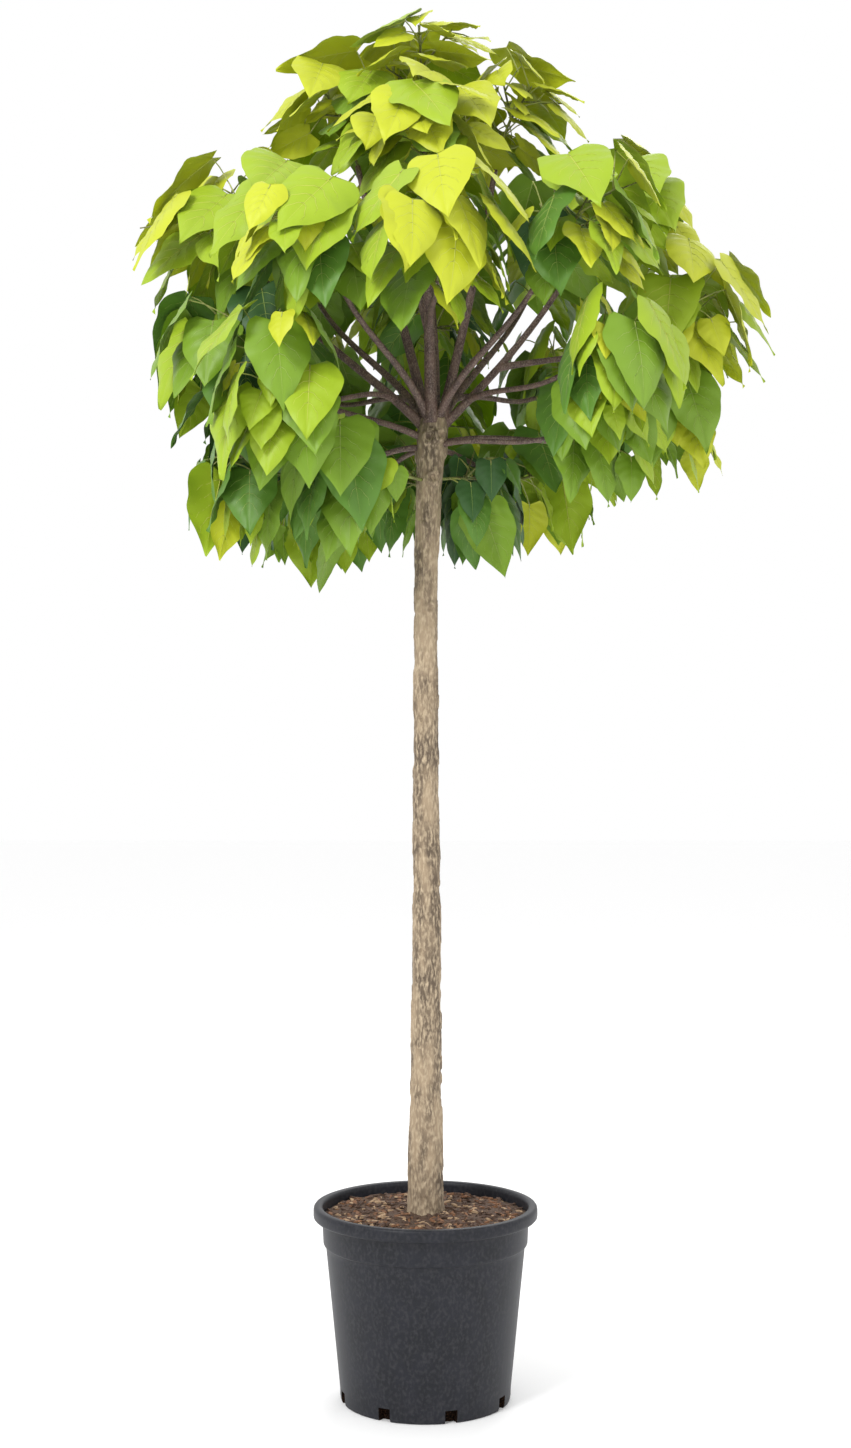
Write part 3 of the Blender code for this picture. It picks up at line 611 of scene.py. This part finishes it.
def nodes_along(points):
    """Places for whorls at even steps along a twig, and one near its end, with the twig's direction."""
    nodes = []
    for low, high in zip(points[1:], points[2:]):
        stretch = high - low
        count = max(1, round(stretch.length / NODE_SPACING))
        for i in range(count):
            nodes.append((low + stretch * ((i + 0.5) / count), stretch.normalized()))
    last = points[-1] - points[-2]
    nodes.append((points[-1] - last * END_NODE, last.normalized()))
    return nodes


def is_free(tree, at, taken):
    """Whether a leaf touches no limb, and no leaf whose base is near its own."""
    if any(limb.overlap(tree) for limb in limbs):
        return False
    near = [leaf for joint, leaf in taken if (joint - at).length_squared < REACH**2]
    return not any(leaf.overlap(tree) for leaf in near)


def grow_leaves(mass, twigs, taken, rng, sizes, count):
    """The mass's leaves as (node, base, axes, length): those that keep to its space and touch nothing."""
    middle = Vector(mass.middle)
    places = []
    for points, _, _ in twigs:
        for node, axis in nodes_along(points):
            places += [(node, axis, whorl * math.tau / WHORL) for whorl in range(WHORL)]
    rng.shuffle(places)
    leaves = []
    for size in sizes:
        for node, axis, turn in places:
            if len(leaves) == count:
                return leaves
            turn += rng.uniform(-WHORL_TURN, WHORL_TURN)
            side = Matrix.Rotation(turn, 3, axis) @ axis.orthogonal().normalized()
            going = axis * math.cos(LEAF_ANGLE) + side * math.sin(LEAF_ANGLE)
            length = LEAF_LENGTH * size * rng.uniform(*LENGTHS)
            base = node + going * PETIOLE_LENGTH * size * rng.uniform(*STALK_LENGTHS)
            level = Vector((base.x, base.y, 0)).normalized()
            outward = (base - middle) / mass.wide + level * OUTWARD + going
            outward = Matrix.Rotation(rng.uniform(-SWING, SWING), 3, "Z") @ outward
            hang = math.radians(between(HANG, base.z, 1) + rng.uniform(-HANG_SPREAD, HANG_SPREAD))
            axes = leaf_frame(outward, hang, rng.uniform(-ROLL, ROLL))
            leaf = leaf_points(node, base, axes, length)
            clear = leaf_points(node + going * ROOT_DEPTH, base, axes, length)
            if not all(in_cell(point, mass.name) for point in leaf[3:]):
                continue
            tree = BVHTree.FromPolygons(clear, LEAF_FACES)
            if is_free(tree, base, taken):
                taken.append((base, tree))
                leaves.append((node, base, axes, length))
    return leaves


taken, grown = [], []
for seed, mass in enumerate(CROWN):
    rng = random.Random(LEAF_SEEDS + seed)
    found = grow_leaves(mass, twigs_by_mass[mass.name], taken, rng, LEAF_SIZES, mass.leaves)
    grown += [(mass.name, *leaf) for leaf in found]
# Young leaves fill in between, once every large one has its place.
for seed, mass in enumerate(CROWN):
    rng = random.Random(YOUNG_SEEDS + seed)
    found = grow_leaves(mass, twigs_by_mass[mass.name], taken, rng, YOUNG_SIZES, YOUNG_COUNT)
    grown += [(mass.name, *leaf) for leaf in found]

# The blade's grid, and what differs from one blade to the next, each drawn between two values.
ACROSS, ALONG = 12, 27
BELLY, FULLNESS, POINT, POINT_POWER = 0.55, 0.85, 0.52, 4
EDGE_WAVES, EDGE_SHIFTS, EDGE_DEPTH = (13, 20), (0, 3), 0.07
HALF_WIDTHS, LOBE_DEPTH, LOBE_ACROSS, LOBE_ALONG, LOBE_START = (0.36, 0.42), 0.17, 1.4, 3, 1.6
FOLDS = (0.06, 0.24)
RIM_DROOP, RIM_DROOPS = 0.05, (0.0, 0.08)
TIP_DROOP, TIP_DROOPS, DROOP_POWER = 0.10, (0.0, 0.10), 2.2
CURL, CURLS, CURL_WAVES, CURL_SHIFTS = 0.022, (0.6, 1.6), (9, 14), (0, 6)
SIDE_VEINS, VEIN_SLOPE, QUILTING, QUILT_RISE = 6, 1.3, 0.017, 4
GROOVE, GROOVE_SHARPNESS = 0.012, 7
# Veins, as shares of the blade's length: at the stalk and at the end.
RIB_ROWS, RIB_WIDTHS, SIDE_VEIN_WIDTHS = slice(0, -5, 2), (0.0090, 0.0016), (0.0042, 0.0016)
VEINED_FROM, SIDE_VEIN_ROWS, SIDE_VEIN_POINTS, VEIN_CLIMB = 0.10, range(2, 18, 4), 5, 1.5


def blade(leaf_axes, base, length, rng):
    """A heart: half width from a sine of the root of the share along, with lobes drawn back beside the
    stalk. Its height adds up a fold along the midrib, rims and a tip that droop, a wave along the edge,
    quilting between the side veins, and a groove over the midrib."""
    v, u = np.meshgrid(np.linspace(0, 1, ALONG + 1), np.linspace(-1, 1, ACROSS + 1), indexing="ij")
    swell = np.sin(math.pi * v**BELLY) ** FULLNESS * (1 - POINT * v**POINT_POWER)
    waves, shift = rng.uniform(*EDGE_WAVES), rng.uniform(*EDGE_SHIFTS)
    ragged = 1 + EDGE_DEPTH * np.sin(v * waves + np.sign(u) * shift) * (1 - v)
    x = u * swell * ragged * rng.uniform(*HALF_WIDTHS) * length
    back = LOBE_DEPTH * np.abs(u) ** LOBE_ACROSS * (1 - v) ** LOBE_ALONG
    back = back * np.minimum(1, swell * LOBE_START)
    y = (v - back) * length
    fold = rng.uniform(*FOLDS)
    rim = RIM_DROOP + rng.uniform(*RIM_DROOPS)
    z = fold * np.abs(x) - rim * length * np.abs(u) ** DROOP_POWER * swell
    z -= (TIP_DROOP + rng.uniform(*TIP_DROOPS)) * length * v**DROOP_POWER
    curl = CURL * length * rng.uniform(*CURLS)
    waves, shift = rng.uniform(*CURL_WAVES), rng.uniform(*CURL_SHIFTS)
    z += curl * np.sin(v * waves + shift) * u**2 * np.sign(u)
    vein = np.abs(np.sin(math.pi * (v * SIDE_VEINS - np.abs(u) * VEIN_SLOPE)))
    z += QUILTING * length * (vein - 0.5) * np.minimum(1, np.abs(u) * QUILT_RISE) * swell
    z -= GROOVE * length * np.exp(-((u * GROOVE_SHARPNESS) ** 2)) * swell
    across, along, up = (np.array(tuple(axis)) for axis in leaf_axes)
    return np.array(tuple(base)) + x[..., None] * across + y[..., None] * along + z[..., None] * up


def veins_of(sheet, length):
    """The midrib down the blade's middle column, and side veins that climb from it over the columns."""
    centre = ACROSS // 2
    rib = sheet[RIB_ROWS, centre]
    runs = [(rib, np.linspace(*RIB_WIDTHS, len(rib)) * length)]
    if length > VEINED_FROM:
        for row in SIDE_VEIN_ROWS:
            for way in (-1, 1):
                steps = np.arange(SIDE_VEIN_POINTS)
                branch = sheet[row + (steps * VEIN_CLIMB).astype(int), centre + way * steps]
                runs.append((branch, np.linspace(*SIDE_VEIN_WIDTHS, SIDE_VEIN_POINTS) * length))
    return runs


def leaf_surface(name, colour, rough):
    """A plain leaf colour with the soft sheen of its fine hairs."""
    material = bpy.data.materials.new(name)
    material.use_nodes = True
    shader = material.node_tree.nodes["Principled BSDF"]
    shader.inputs["Base Color"].default_value = (*colour, 1.0)
    shader.inputs["Roughness"].default_value = rough
    shader.inputs["Specular IOR Level"].default_value = 0.35
    shader.inputs["Sheen Weight"].default_value = 0.06
    return material


# Leaf colours from lit to shaded: the gold and lime are partly painted light, the greens darker by painted
# shade, over the leaves' own change from gold to green.
LEAF_COLOURS = (
    ("gold", (0.480, 0.530, 0.020), 0.50),
    ("lime", (0.310, 0.440, 0.016), 0.48),
    ("fresh-green", (0.175, 0.305, 0.018), 0.46),
    ("mid-green", (0.095, 0.215, 0.022), 0.46),
    ("deep-green", (0.038, 0.105, 0.024), 0.48),
)
# The light that a leaf gets, put into its colour as painted light and shade: from how far out and how high
# it is, its spray and a draw. Steps between the five colours, from the darkest up.
CROWN_HALF, CROWN_MIDDLE, CROWN_FOOT = (0.62, 0.58, 0.60), 2.10, 1.70
LIGHT_OUT, LIGHT_UP, LIGHT_DRAW, SPRAY_SHIFT = 0.62, 0.36, 0.17, 0.09
YOUNG_LENGTH, YOUNG_LIGHT = 0.115, 0.20
LIGHT_STEPS, COLOUR_SEED, BLADE_MIDDLE = [0.36, 0.49, 0.64, 0.84], 77, 0.45
STALK_SAG, STALK_IN = 0.10, 0.01
STALK_RADII, STALK_SIDES, VEIN_SIDES = [0.0021, 0.0015, 0.0013, 0.0013, 0.0008], 6, 3

by_colour = {name: [] for name, _, _ in LEAF_COLOURS}
veins = {True: [], False: []}
stalks = []
rng = random.Random(COLOUR_SEED)
spray_shift = {mass.name: random.Random(mass.name).uniform(-SPRAY_SHIFT, SPRAY_SHIFT) for mass in CROWN}
for name, node, base, axes, length in grown:
    middle = base + axes[1] * length * BLADE_MIDDLE
    wide, deep, high = CROWN_HALF
    out = math.sqrt((middle.x / wide) ** 2 + (middle.y / deep) ** 2 + ((middle.z - CROWN_MIDDLE) / high) ** 2)
    light = out * LIGHT_OUT + (middle.z - CROWN_FOOT) * LIGHT_UP + spray_shift[name]
    light += rng.uniform(-LIGHT_DRAW, LIGHT_DRAW)
    if length < YOUNG_LENGTH:
        light += YOUNG_LIGHT
    # The colour step carries the painted light and shade that the leaf gets.
    colour = LEAF_COLOURS[4 - int(np.searchsorted(LIGHT_STEPS, light))][0]
    sheet = blade(axes, base, length, rng)
    by_colour[colour].append(sheet)
    # The veins go with their leaf's painted light and shade.
    veins[colour in ("gold", "lime")] += veins_of(sheet, length)
    sag = Vector((0, 0, STALK_SAG)) * (base - node).length
    first, second = node.lerp(base, 0.3) + sag * 0.5, node.lerp(base, 0.7) + sag * 0.6
    stalks.append(([node, first, second, base, base + axes[1] * STALK_IN], STALK_RADII))

leaf_faces = grid_faces(ALONG + 1, ACROSS + 1, False)
for name, colour, rough in LEAF_COLOURS:
    sheets = by_colour[name]
    points = np.concatenate([sheet.reshape(-1, 3) for sheet in sheets])
    faces = np.concatenate([leaf_faces + i * (ALONG + 1) * (ACROSS + 1) for i in range(len(sheets))])
    piece = mesh_piece("leaves-" + name, points, faces, leaf_surface(name + " leaf", colour, rough))
    if name == "gold":
        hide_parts(*["leaves-" + mass.name for mass in CROWN])

# Two copies of the veins: the paler one on gold and lime leaves is partly painted light, the darker one on
# the greener leaves is painted shade.
for light, name, colour in (
    (True, "leaf-veins-outer", (0.52, 0.56, 0.10)),
    (False, "leaf-veins-inner", (0.33, 0.44, 0.10)),
):
    vein_piece = tubes(name, veins[light], VEIN_SIDES, leaf_surface(name, colour, 0.5))
stalk_surface = mottled(
    "leaf stalk",
    dark=(0.26, 0.33, 0.07),
    middle=(0.36, 0.42, 0.09),
    light=(0.46, 0.40, 0.16),
    scale=40.0,
    upright=1.0,
    rough=0.5,
    bump=0.1,
    height=0.0003,
)
stalk_piece = tubes("leaf-stalks", stalks, STALK_SIDES, stalk_surface)

# The pot
# A blow-moulded 45 litre nursery pot in charcoal plastic, with a stepped collar, a rolled lip and eight
# drain notches round its foot. Their faces are painted near black: painted shade in the openings, where
# compost shows. It is matt, with a faint paler mottle all over.
POT_TURNS, POT_SHARP = 160, math.radians(40)
POT_FOOT_RADIUS = 0.170
NOTCH_COUNT, NOTCH_TURN, NOTCH_HALF, NOTCH_FLANK = 8, math.radians(17), 0.012, 0.002
NOTCH_TOP, NOTCH_FLOOR_RADIUS = 0.0258, 0.154
# The notches' own faces lie inside this radius and between these heights, and take the painted shade.
NOTCH_SHADE_RADIUS, NOTCH_SHADE_LOW, NOTCH_SHADE_HIGH = 0.1635, 0.0004, 0.0262
# Radius and height, from the middle of the underside up the outside and over the lip.
POT_PROFILE = (
    (0.0, 0.0), (0.140, 0.0), (0.166, 0.0), (0.1690, 0.0012), (0.1700, 0.004), (0.1710, 0.0100),
    (0.1716, 0.0255), (0.1717, 0.0262), (0.1750, 0.060), (0.1800, 0.110), (0.1850, 0.160),
    (0.1900, 0.210), (0.1950, 0.260), (0.1990, 0.300), (0.1999, 0.3085), (0.2012, 0.3105),
    (0.2040, 0.3118), (0.2048, 0.3135), (0.2052, 0.3180), (0.2060, 0.335), (0.2068, 0.350),
    (0.2074, 0.3600), (0.2084, 0.3622), (0.2180, 0.3624), (0.2222, 0.3632), (0.2243, 0.3655),
    (0.2248, 0.3690), (0.2248, 0.3790), (0.2240, 0.3838), (0.2218, 0.3868), (0.2185, 0.3880),
    (0.2120, 0.3880), (0.2085, 0.3868), (0.2065, 0.3840), (0.2058, 0.3790), (0.2050, 0.3600),
)


def make_pot():
    """The profile is turned round the axis. Where an angle lies in a notch, the foot is drawn in."""
    profile = np.array(POT_PROFILE)
    turns = list(np.linspace(0, math.tau, POT_TURNS, endpoint=False))
    half = NOTCH_HALF / POT_FOOT_RADIUS
    first = NOTCH_TURN - math.pi / 2
    middles = [(first + math.tau * k / NOTCH_COUNT) % math.tau for k in range(NOTCH_COUNT)]
    for middle in middles:
        for aside in (-half - NOTCH_FLANK, -half, half, half + NOTCH_FLANK):
            turns.append((middle + aside) % math.tau)
    turn = np.array(sorted(turns))
    radius, _ = np.meshgrid(profile[:, 0], turn, indexing="ij")
    height, angle = np.meshgrid(profile[:, 1], turn, indexing="ij")
    aside = np.min(
        [np.abs(np.mod(angle - middle + math.pi, math.tau) - math.pi) for middle in middles], axis=0
    )
    notch = (aside <= half + 1e-6) & (height < NOTCH_TOP)
    radius = np.where(notch, np.minimum(radius, NOTCH_FLOOR_RADIUS), radius)
    points = np.stack([radius * np.cos(angle), radius * np.sin(angle), height], axis=-1)
    plastic = mottled(
        "charcoal plastic",
        dark=(0.009, 0.010, 0.014),
        middle=(0.012, 0.013, 0.019),
        light=(0.027, 0.027, 0.032),
        scale=24.0,
        upright=0.7,
        rough=0.48,
        bump=0.16,
        height=0.0005,
    )
    pot = mesh_piece("nursery-pot", points, grid_faces(len(profile), len(turn), True), plastic)
    pot.data.set_sharp_from_angle(angle=POT_SHARP)
    plastic.node_tree.nodes["Principled BSDF"].inputs["Specular IOR Level"].default_value = 0.28
    # The notch faces get a near-black colour: painted shade in the drain openings, where compost shows.
    notch_shade = mottled(
        "damp compost",
        dark=(0.003, 0.002, 0.002),
        middle=(0.008, 0.005, 0.004),
        light=(0.05, 0.025, 0.014),
        scale=60.0,
        upright=1.0,
        rough=0.95,
        bump=0.4,
        height=0.001,
    )
    notch_shade.node_tree.nodes["Principled BSDF"].inputs["Specular IOR Level"].default_value = 0.05
    pot.data.materials.append(notch_shade)
    centres = np.empty(len(pot.data.polygons) * 3)
    pot.data.polygons.foreach_get("center", centres)
    x, y, z = centres.reshape(-1, 3).T
    inner = (np.hypot(x, y) < NOTCH_SHADE_RADIUS) & (z > NOTCH_SHADE_LOW) & (z < NOTCH_SHADE_HIGH)
    pot.data.polygons.foreach_set("material_index", inner.astype(int))
    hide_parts("pot")


make_pot()

# The soil
# Bark mulch over potting compost, filled to just under the rim and heaped a little at the trunk.
# Chips of bark of many sizes lie flat on it, brown, orange and tan.
SOIL_ROWS, SOIL_COLUMNS = 70, 240
SOIL_INNER, SOIL_OUTER, SOIL_SPAN = 0.020, 0.2046, 0.21
MOUND = ((0.04, SOIL_TOP + 0.002), (0.06, SOIL_TOP), (0.2044, 0.366))
# Lumps and grit: cells round, cells outwards, seed and height.
SOIL_RELIEF = ((26, 9, 21, 0.007), (110, 40, 22, 0.003))
CHIP = (
    (-1, -1, 0), (1, -0.8, 0), (1.1, 0.7, 0), (-0.8, 1, 0),
    (-0.8, -0.7, 1), (0.7, -0.6, 1), (0.8, 0.5, 1), (-0.6, 0.7, 1),
)
CHIP_FACES = ((0, 3, 2, 1), (4, 5, 6, 7), (0, 1, 5, 4), (1, 2, 6, 5), (2, 3, 7, 6), (3, 0, 4, 7))
CHIPS = (
    ("brown", (0.080, 0.043, 0.026), 680),
    ("orange", (0.190, 0.088, 0.040), 240),
    ("tan", (0.360, 0.240, 0.140), 150),
)
CHIP_NEAREST, CHIP_FARTHEST = 0.048, 0.197
CHIP_LENGTHS, CHIP_WIDTHS, CHIP_THICKS = (0.005, 0.014), (0.0025, 0.006), (0.0015, 0.004)
CHIP_TILT, CHIP_UNEVEN, CHIP_SUNK, CHIP_SEED = 0.35, 0.22, 0.0008, 31
CHIP_DARK, CHIP_LIGHT = 0.55, 1.5


def soil_height(distance, angle):
    """A mound from the edge to the middle, with lumps and hollows."""
    distances, heights = zip(*MOUND)
    height = np.interp(distance, distances, heights)
    for cells, outwards, seed, tall in SOIL_RELIEF:
        noise = lattice_noise(angle / math.tau, distance / SOIL_SPAN, cells, outwards, seed)
        height = height + tall * (noise - 0.5)
    return height


def make_soil():
    """The bed is the height over rings round the axis. A chip is a flat uneven box, stretched, tilted,
    turned and put at a random place on the bed."""
    distance, angle = np.meshgrid(
        np.linspace(SOIL_INNER, SOIL_OUTER, SOIL_ROWS),
        np.linspace(0, math.tau, SOIL_COLUMNS, endpoint=False),
        indexing="ij",
    )
    height = soil_height(distance, angle)
    points = np.stack([distance * np.cos(angle), distance * np.sin(angle), height], axis=-1)
    compost = mottled(
        "compost",
        dark=(0.030, 0.018, 0.012),
        middle=(0.075, 0.042, 0.025),
        light=(0.16, 0.095, 0.055),
        scale=90.0,
        upright=1.0,
        rough=0.92,
        bump=0.7,
        height=0.0015,
    )
    soil = mesh_piece("mulch-bed", points, grid_faces(SOIL_ROWS, SOIL_COLUMNS, True), compost)
    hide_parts("soil")
    rng = np.random.default_rng(CHIP_SEED)
    chip, sides = np.array(CHIP, dtype=float), np.array(CHIP_FACES)
    for name, colour, count in CHIPS:
        away = np.sqrt(rng.uniform(CHIP_NEAREST**2, CHIP_FARTHEST**2, count))
        turn = rng.uniform(0, math.tau, count)
        length, width = rng.uniform(*CHIP_LENGTHS, count), rng.uniform(*CHIP_WIDTHS, count)
        thick, yaw = rng.uniform(*CHIP_THICKS, count), rng.uniform(0, math.tau, count)
        tilt = rng.uniform(-CHIP_TILT, CHIP_TILT, count)
        local = chip[None] + rng.uniform(-CHIP_UNEVEN, CHIP_UNEVEN, (count, len(chip), 3))
        local = local * np.stack([length, width, thick], axis=1)[:, None]
        lift = local[..., 0] * np.sin(tilt)[:, None]
        x = local[..., 0] * np.cos(yaw)[:, None] - local[..., 1] * np.sin(yaw)[:, None]
        y = local[..., 0] * np.sin(yaw)[:, None] + local[..., 1] * np.cos(yaw)[:, None]
        x, y = x + (away * np.cos(turn))[:, None], y + (away * np.sin(turn))[:, None]
        z = local[..., 2] + lift + soil_height(away, turn)[:, None] - CHIP_SUNK
        faces = (sides[None] + (np.arange(count) * len(chip))[:, None, None]).reshape(-1, 4)
        bark = mottled(
            name + " bark chip",
            dark=tuple(CHIP_DARK * c for c in colour),
            middle=colour,
            light=tuple(min(1.0, CHIP_LIGHT * c) for c in colour),
            scale=120.0,
            upright=1.0,
            rough=0.88,
            bump=0.5,
            height=0.0008,
        )
        points = np.stack([x, y, z], axis=-1)
        chips = mesh_piece("bark-chips-" + name, points, faces, bark, smooth=False)


make_soil()

# The floor, the light and the camera
# A pale plain floor in soft studio light, seen from the photograph's eye height and distance.
# None of it belongs to the tree.
bpy.ops.mesh.primitive_plane_add(size=40)
floor = bpy.context.object
floor.name = "floor"
paper = bpy.data.materials.new("pale floor")
paper.use_nodes = True
paper.node_tree.nodes["Principled BSDF"].inputs["Base Color"].default_value = (0.98, 0.98, 0.98, 1)
paper.node_tree.nodes["Principled BSDF"].inputs["Roughness"].default_value = 0.9
floor.data.materials.append(paper)

world = bpy.data.worlds.new("studio")
bpy.context.scene.world = world
world.use_nodes = True
world.node_tree.nodes["Background"].inputs["Color"].default_value = (1.0, 1.0, 1.0, 1)
world.node_tree.nodes["Background"].inputs["Strength"].default_value = 1.0
# Each lamp: name, place, size in metres and power in watts. All face the trunk at this height.
LIT_HEIGHT = 1.7
for name, place, size, power in (
    ("key light", (-2.6, -3.6, 4.6), 1.4, 150),
    ("fill light", (3.2, -2.6, 2.6), 3.0, 25),
    ("back light", (0.8, 3.4, 4.2), 2.4, 70),
):
    lamp = bpy.data.lights.new(name, "AREA")
    lamp.energy = power
    lamp.size = size
    light = bpy.data.objects.new(name, lamp)
    light.location = place
    facing = Vector((0, 0, LIT_HEIGHT)) - Vector(place)
    light.rotation_euler = facing.to_track_quat("-Z", "Y").to_euler()
    bpy.context.scene.collection.objects.link(light)

bpy.context.scene.view_settings.view_transform = "Standard"
EYE_HEIGHT, EYE_DISTANCE = 1.352, 4.21
lens = bpy.data.cameras.new("camera")
lens.lens = 52.1
lens.sensor_width = 36.0
camera = bpy.data.objects.new("camera", lens)
camera.location = (0.0, -EYE_DISTANCE, EYE_HEIGHT)
camera.rotation_euler = (math.radians(90), 0, 0)
bpy.context.scene.collection.objects.link(camera)
bpy.context.scene.camera = camera
